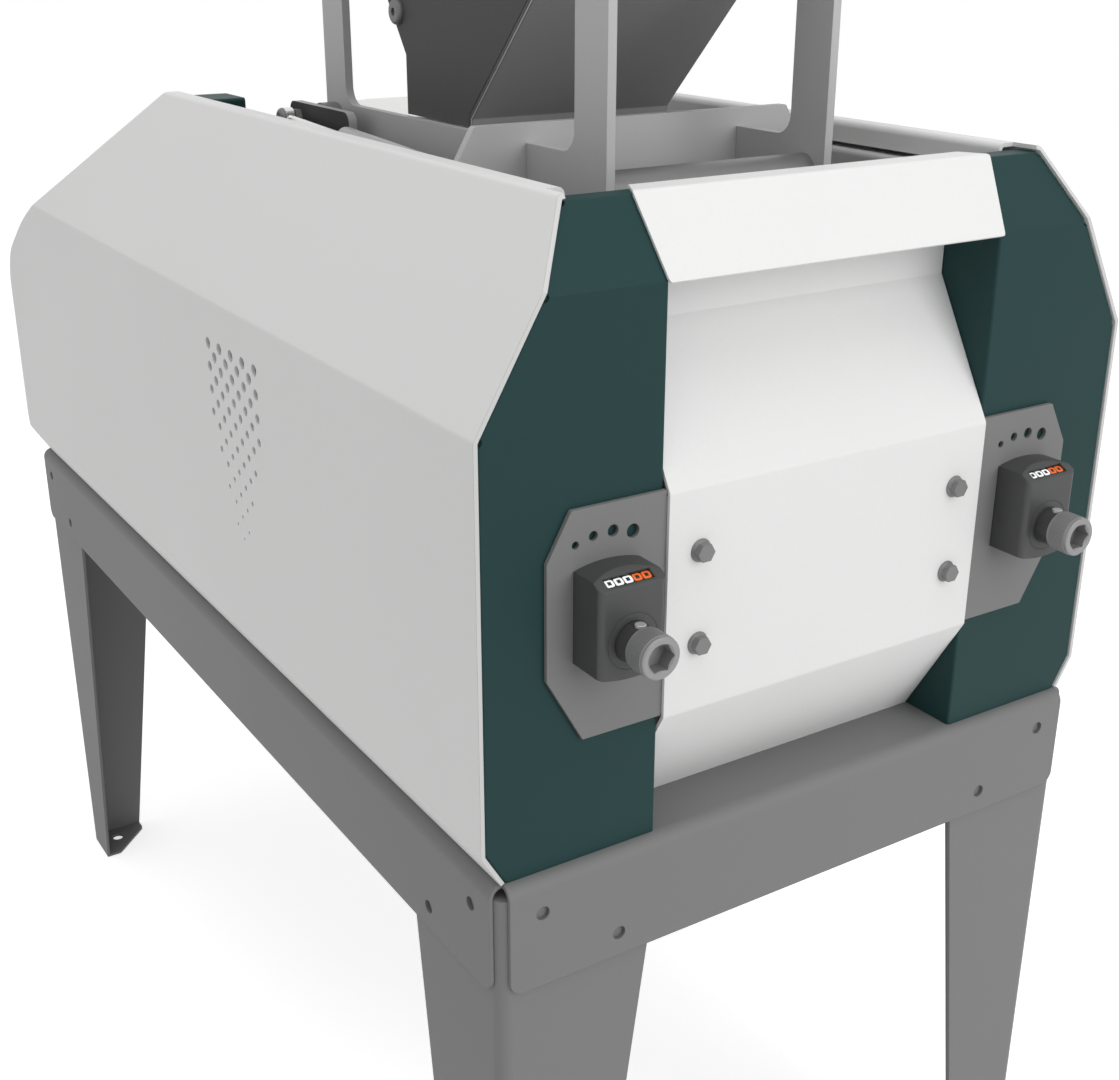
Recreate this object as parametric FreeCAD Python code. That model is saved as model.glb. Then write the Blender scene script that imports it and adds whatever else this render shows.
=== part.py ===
import FreeCAD, Part
import math
import os

# Two-roll grain mill on a folded sheet stand, as separate pieces in one frame.
# Millimetres. x runs to the right of someone facing the front, d runs back from the front plane of
# the side panels, and h runs up from the table top. Each piece is moved to the frame that stands on
# the floor, centred under the mill, as it is written out.

# Stand
table_height = 536.5
stand_sheet = 3.0
stand_bend = 7.0
apron_x = 269.0
apron_front = -8.0
apron_back = 1062.0
apron_drop = 83.0
apron_corner_gap = 10.0
apron_hole_radius = 5.0
apron_holes = ((35.0, -26.0), (96.0, -65.0))
leg_width_top = 119.0
leg_width_foot = 59.0
leg_taper_top = -85.0
leg_top = -10.2
foot_hole_radius = 6.5
foot_hole_inset = 24.0
outlet_x = 88.0
outlet_front = 262.0
outlet_back = 488.0
spout_x = 84.0
spout_front = 278.0
spout_back = 484.0
spout_drop = 70.0

# Body covers
body_half_width = 275.0
body_back = 1077.0
body_top = 430.8
crease_height = 301.4
foot_chamfer_height = 24.6
slope = math.radians(60.0)
lip_inner_x = 182.5
lip_front_x = 196.3
lip_front_end = 49.0
lip_edge_height = 414.0
side_sheet = 3.0
panel_sheet = 2.5
panel_bend = 2.0
front_kink_height = 381.7
roof_start = 702.0
roof_crease = 935.0
roof_sweep_d = 990.0
roof_sweep_height = 276.9
roof_sweep = 400.0
roof_back_height = 223.0
roof_round = 66.0
foot_round = 42.0
cover_sheet = 2.0
cover_gap = 0.3
cover_face = 1.0
cover_fold = 378.8
cover_top = 426.2
bay_half_width = 139.5
bay_depth = 60.0
cover_flange = 25.0
cover_lip_depth = 45.0
cover_lip_drop = 23.0
bay_wall_step = 400.0
relief_radius = 3.2
hood_half_width = 140.8
hood_top_half_width = 149.0
hood_edge_height = 378.0
hood_turn = 9.0
hood_back = 50.5
hood_back_half_width = 136.5
centre_half_width = 138.8
centre_face = -5.0
centre_low_fold = 89.0
centre_high_fold = 246.0
centre_recess = 51.0
centre_top = 418.0
rear_cover_front = 660.0
rear_cover_band = 30.0
rear_panel_inset = 25.0
rear_panel_lip = 20.0
rail_half_width = 176.0

# Side vents: staggered rows whose holes shrink downwards
vent_rows = 17
vent_full_rows = 8
vent_row_pitch = 9.46
vent_pitch = 23.9
vent_centre = 380.8
vent_top = 265.6
vent_radius_top = 4.75
vent_radius_foot = 1.1
vent_taper = 0.15

# Gap adjustment
screw_x = 184.0
screw_height = 168.0
plate_front = -2.45
plate_back = 0.7
case_half_width = 24.5
case_front = -32.3
case_low = 146.7
case_low_middle = 143.2
case_high = 208.7
case_high_middle = 212.4
facet_foot = 204.6
facet_slope = math.radians(28.0)
case_round = 4.0
case_ring_radius = 18.7
wheel_d = -20.6
wheel_height = 197.6
wheel_radius = 10.0
wheel_width = 6.4
wheel_pitch = 6.8
axle_radius = 1.2
window_half_width = 17.2
window_front = -29.8
window_back = -22.9
shaft_front = -43.9
shaft_radius = 13.0
head_front = -62.0
head_radius = 14.0
socket_across_flats = 17.0
socket_depth = 11.0
screw_radius = 10.0
screw_tip = 240.0
dial_holes = ((0.0, 225.5, 2.6), (13.0, 229.0, 3.25), (27.5, 229.5, 4.0), (42.4, 226.3, 4.7))
panel_bolt_x = 113.0
panel_bolt_heights = (203.0, 137.5)
panel_bolt_flange = 8.1
panel_bolt_flats = 11.5

# Mill frame
plate_inner_x = 91.3
plate_sheet = 7.0
frame_front = 130.0
frame_back = 570.0
post_front_width = 39.0
post_back_width = 40.0
post_top = 650.0
bar_top = 430.0
post_fillet = 15.0
cross_front = 231.7
cross_half_width = 154.0
cross_top_half_width = 140.0
cross_top = 443.6
cross_shoulder = 420.0
cross_foot = 360.0
cross_lap = 395.0
tie_d = 152.7
tie_height = 405.0
tie_radius = 14.0
tie_spigot = 5.0
tie_spigot_radius = 6.0

# Rolls
roll_radius = 80.0
roll_half_length = 90.0
roll_shaft_radius = 25.0
roll_shaft_end = 206.0
rear_roll_d = 456.0
front_roll_d = 294.0
roll_height = screw_height
block_inner_x = 164.0
block_outer_x = 204.0
block_half = 55.0
bearing_radius = 45.0
bearing_width = 20.0
rail_top = 115.0

# Drive
motor_d = 880.0
motor_height = 130.0
motor_radius = 80.0
pulley_inner_x = 220.0
pulley_width = 28.0
roll_pulley_radius = 90.0
motor_pulley_radius = 45.0
groove_depth = 12.0
belt_width = 13.0
belt_height = 10.0

# Hopper and feed gate
hopper_half_width = 90.75
hopper_sheet = 2.0
throat_front = 322.0
throat_back = 429.0
throat_foot = 431.0
throat_front_top = 437.0
throat_back_top = 477.0
hopper_front = 175.0
hopper_back = 530.0
hopper_back_fold = 615.0
hopper_rim = 650.0
post_ear_foot = 606.0
gate_d = 552.0
gate_height = 411.0
gate_radius = 14.0
gate_hub_radius = 19.0
lever_outer_x = -121.0
lever_sheet = 8.0
lever_front = 478.5
lever_back = 600.0
lever_top = 428.5
spring_x = -132.5
spring_eye_d = 580.0
spring_eye_height = 416.0
spring_foot_d = 256.0
spring_foot_height = 403.0
spring_body_radius = 9.0
spring_rod_radius = 3.2

# Places shared by pieces that are joined
foot_bolt_radius = 5.0
foot_bolt_places = [(x, d) for x in (-122.0, 122.0) for d in (175.0, 525.0)]
post_bolt_places = [(149.0, 630.0), (550.0, 630.0)]
hopper_bolt_places = [(441.0, 509.0), (496.0, 584.0)]
set_screw_d = -39.6
set_screw_radius = 3.6
set_screw_rise = 1.4
support_front = 34.0
support_back = 64.0
key_x = 184.0
key_half = 6.0
key_rise = 5.0

# Frame on the floor: the middle between the screw heads and the rear covers
frame_origin_d = (body_back + head_front) / 2

V = FreeCAD.Vector
LIFT = {
    "x": lambda u, v: V(0, u, v),
    "d": lambda u, v: V(u, 0, v),
    "h": lambda u, v: V(u, v, 0),
}
AXIS = {"x": V(1, 0, 0), "d": V(0, 1, 0), "h": V(0, 0, 1)}


def box(x0, d0, h0, x1, d1, h1):
    return Part.makeBox(x1 - x0, d1 - d0, h1 - h0, V(x0, d0, h0))


def rod_x(d, h, radius, x0, x1):
    return Part.makeCylinder(radius, x1 - x0, V(x0, d, h), AXIS["x"])


def rod_d(x, h, radius, d0, d1):
    return Part.makeCylinder(radius, d1 - d0, V(x, d0, h), AXIS["d"])


def rod_h(x, d, radius, h0, h1):
    return Part.makeCylinder(radius, h1 - h0, V(x, d, h0), AXIS["h"])


def ring_x(d, h, outer, inner, x0, x1):
    return rod_x(d, h, outer, x0, x1).cut(rod_x(d, h, inner, x0 - 1, x1 + 1))


def hexagon(axis, u, v, across_flats, start, end):
    """Hexagonal bar along an axis."""
    reach = across_flats / math.sqrt(3)
    angles = [math.radians(60 * i) for i in range(6)]
    return prism([(u + reach * math.cos(a), v + reach * math.sin(a)) for a in angles], axis, start, end)


def prism(points, axis, start, end):
    """Outline drawn square to an axis, with an arc at each corner that has a radius, run along it."""
    lift = LIFT[axis]
    corners = []
    for i, point in enumerate(points):
        here = V(point[0], point[1], 0)
        radius = point[2] if len(point) > 2 else 0
        if radius <= 0:
            corners.append([here])
            continue
        before = V(points[i - 1][0], points[i - 1][1], 0) - here
        after = V(points[(i + 1) % len(points)][0], points[(i + 1) % len(points)][1], 0) - here
        before.normalize()
        after.normalize()
        half = before.getAngle(after) / 2
        reach = radius / math.tan(half)
        middle = before + after
        middle.normalize()
        apex = here + middle * (radius / math.sin(half) - radius)
        corners.append([here + before * reach, apex, here + after * reach])
    edges = []
    for i, corner in enumerate(corners):
        spots = [lift(p.x, p.y) for p in corner]
        if len(spots) == 3:
            edges.append(Part.Arc(*spots).toShape())
        following = corners[(i + 1) % len(corners)][0]
        target = lift(following.x, following.y)
        if (target - spots[-1]).Length > 1e-6:
            edges.append(Part.makeLine(spots[-1], target))
    face = Part.Face(Part.Wire(edges))
    face.translate(AXIS[axis] * start)
    return face.extrude(AXIS[axis] * (end - start))


def shifted(path, distance):
    """Open path moved to the right of its run by a distance, with mitred corners."""
    runs = []
    for (u0, v0), (u1, v1) in zip(path, path[1:]):
        length = math.hypot(u1 - u0, v1 - v0)
        runs.append(((u1 - u0) / length, (v1 - v0) / length))
    moved = []
    for i, (u, v) in enumerate(path):
        first = runs[max(i - 1, 0)]
        second = runs[min(i, len(runs) - 1)]
        normal = (first[1] + second[1], -first[0] - second[0])
        scale = distance * 2 / (normal[0] ** 2 + normal[1] ** 2)
        moved.append((u + normal[0] * scale, v + normal[1] * scale))
    return moved


def strip(path, thickness, bend):
    """Outline of a bent sheet from the path of its outer face, thick to the right of the run."""
    inner = shifted(path, thickness)
    outer_side = []
    inner_side = []
    for i, point in enumerate(path):
        if i in (0, len(path) - 1):
            outer_side.append(point)
            inner_side.append(inner[i])
            continue
        ahead = (path[i + 1][0] - point[0], path[i + 1][1] - point[1])
        behind = (point[0] - path[i - 1][0], point[1] - path[i - 1][1])
        turns_right = behind[0] * ahead[1] - behind[1] * ahead[0] < 0
        outer_side.append(point + ((bend + thickness) if turns_right else bend,))
        inner_side.append(inner[i] + (bend if turns_right else bend + thickness,))
    return outer_side + inner_side[::-1]


def fused(shapes):
    """One solid from touching or overlapping shapes."""
    whole = shapes[0].multiFuse(shapes[1:])
    return whole.removeSplitter()


def mirrored(shape):
    """The same piece for the other side of the mill."""
    return shape.mirror(V(0, 0, 0), AXIS["x"])


def rows_of(shapes):
    """Separate solids kept together as one node."""
    return Part.makeCompound(shapes)


# Side-panel section, as the path of its outer face from the lip down to the table
panel_slant_x = body_half_width - (body_top - crease_height) / math.tan(slope)
panel_foot_x = body_half_width - foot_chamfer_height / math.tan(slope)
panel_path = [
    (lip_inner_x, lip_edge_height),
    (lip_inner_x, body_top),
    (panel_slant_x, body_top),
    (body_half_width, crease_height),
    (body_half_width, foot_chamfer_height),
    (panel_foot_x, 0.0),
]
overrun = 30.0
panel_path_long = [
    (panel_slant_x - overrun / math.tan(slope), body_top + overrun),
    (body_half_width, crease_height),
    (body_half_width, foot_chamfer_height),
    (panel_foot_x - overrun / math.tan(slope), -overrun),
]


# Rear outline in d and h, from above the roof line to the table, with the rounding of each corner
roof_drop = (body_top - crease_height) / (roof_crease - roof_start)
roof_entry_d = roof_start - 100.0
rear_path = [
    (roof_entry_d, body_top + (roof_start - roof_entry_d) * roof_drop),
    (roof_crease, crease_height),
    (roof_sweep_d, roof_sweep_height),
    (body_back, roof_back_height),
    (body_back, -cover_face),
    (body_back - foot_round - 5, -cover_face),
]
rear_rounds = (0.0, 0.0, roof_sweep, roof_round, foot_round, 0.0)


def rear_outline(inset, low):
    """Space under the rear outline moved in by an inset, down to a height, as a closed outline."""
    moved = shifted(rear_path, inset)
    corners = [point + (max(0.0, radius - inset),) for point, radius in zip(moved, rear_rounds)]
    return corners + [(moved[-1][0], low), (roof_entry_d, low)]


def stand_top():
    half_gap = apron_x - apron_corner_gap
    long_gap_front = apron_front + apron_corner_gap
    long_gap_back = apron_back - apron_corner_gap
    ends = [
        (apron_front, -apron_drop),
        (apron_front, 0.0),
        (apron_back, 0.0),
        (apron_back, -apron_drop),
    ]
    sides = [(-apron_x, -apron_drop), (-apron_x, 0.0), (apron_x, 0.0), (apron_x, -apron_drop)]
    corner = 10.0
    end_aprons = prism(strip(ends, stand_sheet, stand_bend), "x", -half_gap, half_gap)
    end_trim = [
        (-half_gap, -apron_drop, corner),
        (half_gap, -apron_drop, corner),
        (half_gap, 1),
        (-half_gap, 1),
    ]
    end_aprons = end_aprons.common(prism(end_trim, "d", apron_front - 1, apron_back + 1))
    side_aprons = prism(strip(sides, stand_sheet, stand_bend), "d", long_gap_front, long_gap_back)
    side_trim = [
        (long_gap_front, -apron_drop, corner),
        (long_gap_back, -apron_drop, corner),
        (long_gap_back, 1),
        (long_gap_front, 1),
    ]
    side_aprons = side_aprons.common(prism(side_trim, "x", -apron_x - 1, apron_x + 1))
    top = fused([end_aprons, side_aprons])
    cuts = [box(-outlet_x, outlet_front, -10, outlet_x, outlet_back, 10)]
    for inset, height in apron_holes:
        for side in (-1, 1):
            x = side * (apron_x - inset)
            cuts.append(rod_d(x, height, apron_hole_radius, apron_front - 5, apron_back + 5))
        for d in (apron_front + inset, apron_back - inset):
            cuts.append(rod_x(d, height, apron_hole_radius, -apron_x - 5, apron_x + 5))
    for x, d in foot_bolt_places:
        cuts.append(rod_h(x, d, foot_bolt_radius + 0.4, -10, 10))
    return top.cut(rows_of(cuts))


def front_right_leg():
    outer_x = apron_x - stand_sheet
    outer_d = apron_front + stand_sheet
    floor = -table_height
    corner_path = [(outer_x, outer_d + leg_width_top), (outer_x, outer_d), (outer_x - leg_width_top, outer_d)]
    angle = prism(strip(corner_path, stand_sheet, stand_bend), "h", floor, leg_top)
    front_view = [
        (outer_x - leg_width_top, leg_top + 1),
        (outer_x - leg_width_top, leg_taper_top),
        (outer_x - leg_width_foot, floor),
        (outer_x + 1, floor),
        (outer_x + 1, leg_top + 1),
    ]
    side_view = [
        (outer_d + leg_width_top, leg_top + 1),
        (outer_d + leg_width_top, leg_taper_top),
        (outer_d + leg_width_foot, floor),
        (outer_d - 1, floor),
        (outer_d - 1, leg_top + 1),
    ]
    angle = angle.common(prism(front_view, "d", outer_d - 5, outer_d + leg_width_top + 5))
    angle = angle.common(prism(side_view, "x", outer_x - leg_width_top - 5, outer_x + 5))
    inner_x = outer_x - stand_sheet
    inner_d = outer_d + stand_sheet
    reach = leg_width_foot - stand_sheet
    tab = [
        (inner_x, inner_d),
        (inner_x, inner_d + reach),
        (inner_x - 14, inner_d + reach, 6),
        (inner_x - reach, inner_d + 14, 6),
        (inner_x - reach, inner_d),
    ]
    foot = prism(tab, "h", floor, floor + stand_sheet)
    corner = [(inner_x, inner_d, 3), (inner_x, inner_d + 30), (inner_x - 30, inner_d)]
    gusset = prism(corner, "h", leg_top - stand_sheet, leg_top)
    hole = rod_h(outer_x - foot_hole_inset, outer_d + foot_hole_inset, foot_hole_radius, floor - 1, floor + 9)
    return fused([angle, foot, gusset]).cut(hole)


def leg_at(side, end):
    """A leg for one corner: side is -1 or 1 in x, end is 'front' or 'rear'."""
    leg = front_right_leg()
    if end == "rear":
        leg = leg.mirror(V(0, (apron_front + apron_back) / 2, 0), AXIS["d"])
    return leg if side > 0 else mirrored(leg)


def vent_cuts():
    cuts = []
    for row in range(vent_rows):
        share = row / (vent_rows - 1)
        radius = vent_radius_top + (vent_radius_foot - vent_radius_top) * share
        limit = 2.0 - vent_taper * max(0, row - vent_full_rows + 1)
        offset = 0.5 if row % 2 else 0.0
        for step in range(-2, 3):
            place = step + offset
            if abs(place) <= limit:
                d = vent_centre - place * vent_pitch
                cuts.append(rod_x(d, vent_top - row * vent_row_pitch, radius, 260.0, 290.0))
    return rows_of(cuts)


def side_view_trim():
    """Side outline shared by both side panels."""
    top = body_top + 1
    chamfer_d = (top - front_kink_height) / math.tan(slope)
    outline = [
        (0.0, 0.0),
        (0.0, front_kink_height),
        (chamfer_d, top),
        (body_back, top),
        (body_back, 0.0),
    ]
    front_part = prism(outline, "x", 100.0, 300.0)
    rear_part = prism(rear_outline(0.0, -1.0), "x", 100.0, 300.0)
    return front_part.common(fused([rear_part, box(100, -10, -1, 300, roof_entry_d + 10, top)]))


def right_side_panel():
    sheet = prism(strip(panel_path, side_sheet, panel_bend), "d", -5.0, body_back + 5)
    turn_inner = lip_inner_x + side_sheet + panel_bend + 0.5
    clearances = [
        box(lip_inner_x - 1, -5.0, lip_edge_height - 1, lip_front_x, lip_front_end, body_top + 1),
        box(lip_inner_x - 1, rear_cover_front - 1, lip_edge_height - 1,
            turn_inner, body_back, body_top - side_sheet),
    ]
    return sheet.common(side_view_trim()).cut(rows_of(clearances + [vent_cuts()]))


def cover_section(inset, low, d0, d1):
    """Space inside the right-hand side panel and outside the centre bay, moved in by an inset."""
    outer = shifted(panel_path_long, side_sheet + cover_gap + inset)
    bay = bay_half_width + inset
    space = prism(outer + [(bay, -overrun), (bay, body_top + overrun)], "d", d0, d1)
    return space.common(box(0, d0, low, 400, d1, body_top + overrun))


def front_space(inset, low, depth):
    """Space behind the front face and under the sloped front of a front cover."""
    face = cover_face + inset
    line_d = cover_face + inset / math.sin(slope)
    rise = math.tan(slope)
    top = cover_top - inset
    profile = [
        (face, low),
        (face, cover_fold + (face - line_d) * rise),
        (line_d + (top - cover_fold) / rise, top),
        (depth, top),
        (depth, low),
    ]
    return prism(profile, "x", 100.0, 300.0)


def right_front_cover():
    outer = cover_section(0.0, 0.0, 0.0, bay_depth).common(front_space(0.0, 0.0, bay_depth))
    bends = [
        edge for edge in outer.Edges
        if edge.BoundBox.YMax < bay_depth - 1 and edge.BoundBox.ZMax > 1
    ]
    outer = outer.makeFillet(cover_sheet, bends)
    inner = cover_section(cover_sheet, -20.0, 0.0, bay_depth + 10)
    inner = inner.common(front_space(cover_sheet, -20.0, bay_depth + 10))
    pan = outer.cut(inner)
    wall = bay_half_width + cover_sheet
    pan = pan.cut(box(wall, cover_flange, -1, 300, bay_depth + 5, 370))
    pan = pan.cut(box(wall, cover_lip_depth, 300, 300, bay_depth + 5, 460))
    pan = pan.cut(box(bay_half_width - 1, cover_lip_depth, bay_wall_step, 300, bay_depth + 5, 460))
    lip_end = lip_inner_x - 2
    lip = box(
        wall - 0.5, cover_lip_depth - cover_sheet, cover_top - cover_lip_drop,
        lip_end, cover_lip_depth, cover_top - 0.5,
    )
    pan = fused([pan, lip])
    crease = shifted(panel_path_long, side_sheet + cover_gap)[1]
    ridge_d = cover_face + (cover_top - cover_fold) / math.tan(slope)
    fold_x = crease[0] - (cover_fold - crease[1]) / math.tan(slope)
    ridge_x = crease[0] - (cover_top - crease[1]) / math.tan(slope)
    corners = [
        V(crease[0], cover_face, crease[1]),
        V(fold_x, cover_face, cover_fold),
        V(ridge_x, ridge_d, cover_top),
    ]
    reliefs = [Part.makeSphere(relief_radius, corner) for corner in corners]
    hole = rod_d(screw_x, screw_height, screw_radius + 3, -20, 60)
    return pan.cut(rows_of(reliefs + [hole]))


def front_hood():
    stand_off = cover_gap + cover_sheet
    rise = math.tan(slope)
    base_d = cover_face - stand_off * math.sin(slope)
    base_h = cover_fold + stand_off * math.cos(slope)
    hood_top = cover_top + stand_off
    bend_d = base_d + (hood_top - base_h) / rise
    path = [
        (base_d + (hood_edge_height - base_h) / rise, hood_edge_height),
        (bend_d, hood_top),
        (hood_back, hood_top),
        (hood_back, hood_top - hood_turn),
    ]
    wide = hood_top_half_width
    sheet = prism(strip(path, cover_sheet, cover_sheet), "x", -wide, wide)
    corner = 4.0
    front_view = [
        (-hood_half_width, hood_edge_height - 1, corner),
        (hood_half_width, hood_edge_height - 1, corner),
        (wide, hood_top - cover_sheet),
        (wide, hood_top + 5),
        (-wide, hood_top + 5),
        (-wide, hood_top - cover_sheet),
    ]
    slope_part = prism(front_view, "d", -20.0, cover_lip_depth)
    turn_part = box(-wide, cover_lip_depth - 1, hood_top - hood_turn - 1, wide, hood_back + 1, hood_top + 5)
    narrow = hood_back_half_width
    plan_view = [
        (-wide, -20.0),
        (wide, -20.0),
        (wide, bend_d),
        (narrow, hood_back),
        (narrow, hood_back + 1),
        (-narrow, hood_back + 1),
        (-narrow, hood_back),
        (-wide, bend_d),
    ]
    plan_part = prism(plan_view, "h", hood_edge_height - 5, hood_top + 5)
    return sheet.common(fused([slope_part, turn_part])).common(plan_part)


def front_panel():
    rise = math.tan(slope)
    low_d = centre_face + centre_low_fold / rise
    high_h = centre_high_fold + (centre_recess - centre_face) * rise
    path = [
        (low_d, 0.0),
        (centre_face, centre_low_fold),
        (centre_face, centre_high_fold),
        (centre_recess, high_h),
        (centre_recess, centre_top),
    ]
    sheet = prism(strip(path, panel_sheet, panel_bend), "x", -centre_half_width, centre_half_width)
    holes = [
        rod_d(side * panel_bolt_x, height, 4.4, -20, 20)
        for side in (-1, 1)
        for height in panel_bolt_heights
    ]
    return sheet.cut(rows_of(holes))


def front_panel_bolts():
    bolts = []
    seat = centre_face - 0.1
    for side in (-1, 1):
        for height in panel_bolt_heights:
            x = side * panel_bolt_x
            rim = panel_bolt_flange
            flange = Part.makeCone(rim - 1.9, rim, 2.4, V(x, seat - 2.4, height), AXIS["d"])
            head = hexagon("d", x, height, panel_bolt_flats, seat - 6.6, seat - 1.5)
            shank = rod_d(x, height, 4.0, seat - 2, plate_back + 9)
            nut = hexagon("d", x, height, panel_bolt_flats, plate_back + 0.1, plate_back + 6.9)
            bolts.append(fused([flange, head, shank, nut]))
    return rows_of(bolts)


def right_indicator_plate():
    tongue_x = 95.0
    step_x = centre_half_width + 0.4
    tongue_low = centre_low_fold + 3
    tongue_high = centre_high_fold - 2
    high = 248.3
    low = 90.4
    outline = [
        (tongue_x, tongue_low),
        (step_x, tongue_low),
        (step_x, low),
        (200.5, low),
        (227.5, 138.2),
        (227.5, 216.9),
        (210.0, high, 2),
        (step_x, high),
        (step_x, tongue_high),
        (tongue_x, tongue_high),
    ]
    return prism(outline, "d", plate_front, plate_back)


def plate_holes(side):
    """Row of growing dial holes over an indicator, the screw hole and two bolt holes."""
    first_x = 207.0 if side < 0 else 159.6
    holes = [
        rod_d(side * first_x + step, height, radius, -10, 10)
        for step, height, radius in dial_holes
    ]
    holes.append(rod_d(side * screw_x, screw_height, screw_radius + 2, -10, 10))
    for height in panel_bolt_heights:
        holes.append(rod_d(side * panel_bolt_x, height, 4.4, -10, 10))
    return rows_of(holes)


def facet_point(d, depth):
    """Point in d and h at a depth square to the counter's sloped facet."""
    height = facet_foot + (d - case_front) * math.tan(facet_slope)
    return (d + depth * math.sin(facet_slope), height - depth * math.cos(facet_slope))


def window_prism(front, back, depth, proud):
    """Section of the window between two places on the facet, cut in to a depth."""
    return [
        facet_point(front, -proud),
        facet_point(front, depth),
        facet_point(back, depth),
        facet_point(back, -proud),
    ]


def counter_case():
    """Counter housing for the right-hand screw: arched top and foot, sloped window, hollow-shaft bore."""
    left = screw_x - case_half_width
    right = screw_x + case_half_width
    lift = LIFT["d"]
    edges = [
        Part.Arc(lift(left, case_low), lift(screw_x, case_low_middle), lift(right, case_low)).toShape(),
        Part.makeLine(lift(right, case_low), lift(right, case_high)),
        Part.Arc(lift(right, case_high), lift(screw_x, case_high_middle), lift(left, case_high)).toShape(),
        Part.makeLine(lift(left, case_high), lift(left, case_low)),
    ]
    face = Part.Face(Part.Wire(edges))
    face.translate(V(0, case_front, 0))
    case = face.extrude(V(0, plate_front - 0.1 - case_front, 0))
    uprights = [
        edge for edge in case.Edges
        if abs(edge.CenterOfMass.y - case_front) < 0.1 and abs(edge.tangentAt(edge.FirstParameter).z) > 0.9
    ]
    case = case.makeFillet(case_round, uprights)
    facet = [facet_point(-60.0, 0.0), (-60.0, 260.0), (50.0, 260.0), facet_point(50.0, 0.0)]
    case = case.cut(prism(facet, "x", left - 5, right + 5))
    window = window_prism(window_front, window_back, 5.0, 4.0)
    cavity = wheel_radius + 0.25
    axle_reach = window_half_width + 3
    cuts = [
        prism(window, "x", screw_x - window_half_width, screw_x + window_half_width),
        rod_x(wheel_d, wheel_height, cavity, screw_x - window_half_width, screw_x + window_half_width),
        rod_x(wheel_d, wheel_height, axle_radius + 0.1, screw_x - axle_reach, screw_x + axle_reach),
        rod_d(screw_x, screw_height, shaft_radius + 0.05, case_front - 5, 5),
    ]
    groove = rod_d(screw_x, screw_height, case_ring_radius, case_front - 1, case_front + 0.35)
    land = rod_d(screw_x, screw_height, case_ring_radius - 0.4, case_front - 2, case_front + 2)
    cuts.append(groove.cut(land))
    return case.cut(cuts[0].multiFuse(cuts[1:]))


def wheel_at(x):
    start = x - wheel_width / 2
    return ring_x(wheel_d, wheel_height, wheel_radius, axle_radius + 0.05, start, start + wheel_width)


def counter_wheels(centre_x):
    """Axle and carry wheels of the counter at a place in x."""
    reach = window_half_width + 2.5
    axle = rod_x(wheel_d, wheel_height, axle_radius, centre_x - reach, centre_x + reach)
    return [axle] + [wheel_at(centre_x + step * wheel_pitch) for step in (-2, -1, 0, 1)]


def units_wheel(centre_x):
    """Last wheel of a counter, the one that its screw turns."""
    return wheel_at(centre_x + 2 * wheel_pitch)


def counter_window():
    """Clear pane flush in the sloped window of the right-hand counter."""
    pane = window_prism(window_front + 0.05, window_back - 0.05, 0.7, 0.0)
    half = window_half_width - 0.05
    return prism(pane, "x", screw_x - half, screw_x + half)


def hollow_shaft():
    """Counter's hollow shaft round the right-hand screw, with a cross hole for its set screw."""
    tube = rod_d(screw_x, screw_height, shaft_radius, shaft_front, plate_front - 0.4)
    tube = tube.cut(rod_d(screw_x, screw_height, screw_radius + 0.05, shaft_front - 1, 5))
    return tube.cut(rod_h(screw_x, set_screw_d, set_screw_radius + 0.1, screw_height, screw_height + 20))


def set_screw():
    top = screw_height + shaft_radius + set_screw_rise
    pin = rod_h(screw_x, set_screw_d, set_screw_radius, screw_height + screw_radius + 0.1, top)
    return pin.makeChamfer(0.3, [edge for edge in pin.Edges if abs(edge.CenterOfMass.z - top) < 0.1])


def adjusting_screw():
    """Right-hand socket screw with the thrust rings that hold it in its support."""
    head = rod_d(screw_x, screw_height, head_radius, head_front, shaft_front - 0.1)
    head = head.makeChamfer(0.8, [e for e in head.Edges if abs(e.CenterOfMass.y - head_front) < 0.1])
    socket_end = head_front + socket_depth
    head = head.cut(hexagon("d", screw_x, screw_height, socket_across_flats, head_front - 1, socket_end))
    flat = socket_across_flats / 2
    mouth = Part.makeCone(flat * 1.17, flat, 1.4, V(screw_x, head_front, screw_height), AXIS["d"])
    head = head.cut(mouth)
    shank = rod_d(screw_x, screw_height, screw_radius, shaft_front - 0.2, screw_tip)
    rings = [
        rod_d(screw_x, screw_height, 17.0, support_front - 8, support_front - 0.3),
        rod_d(screw_x, screw_height, 17.0, support_back + 0.3, support_back + 8),
    ]
    return fused([head, shank] + rings)


def screw_support():
    """Right-hand block that holds the screw and takes its thrust."""
    outline = [
        (150.0, 0.0),
        (218.0, 0.0),
        (218.0, 12.0),
        (206.0, 40.0),
        (206.0, 200.0, 20),
        (162.0, 200.0, 20),
        (162.0, 40.0),
        (150.0, 12.0),
    ]
    block = prism(outline, "d", support_front, support_back)
    return block.cut(rod_d(screw_x, screw_height, screw_radius + 0.06, 0, 100))


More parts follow.
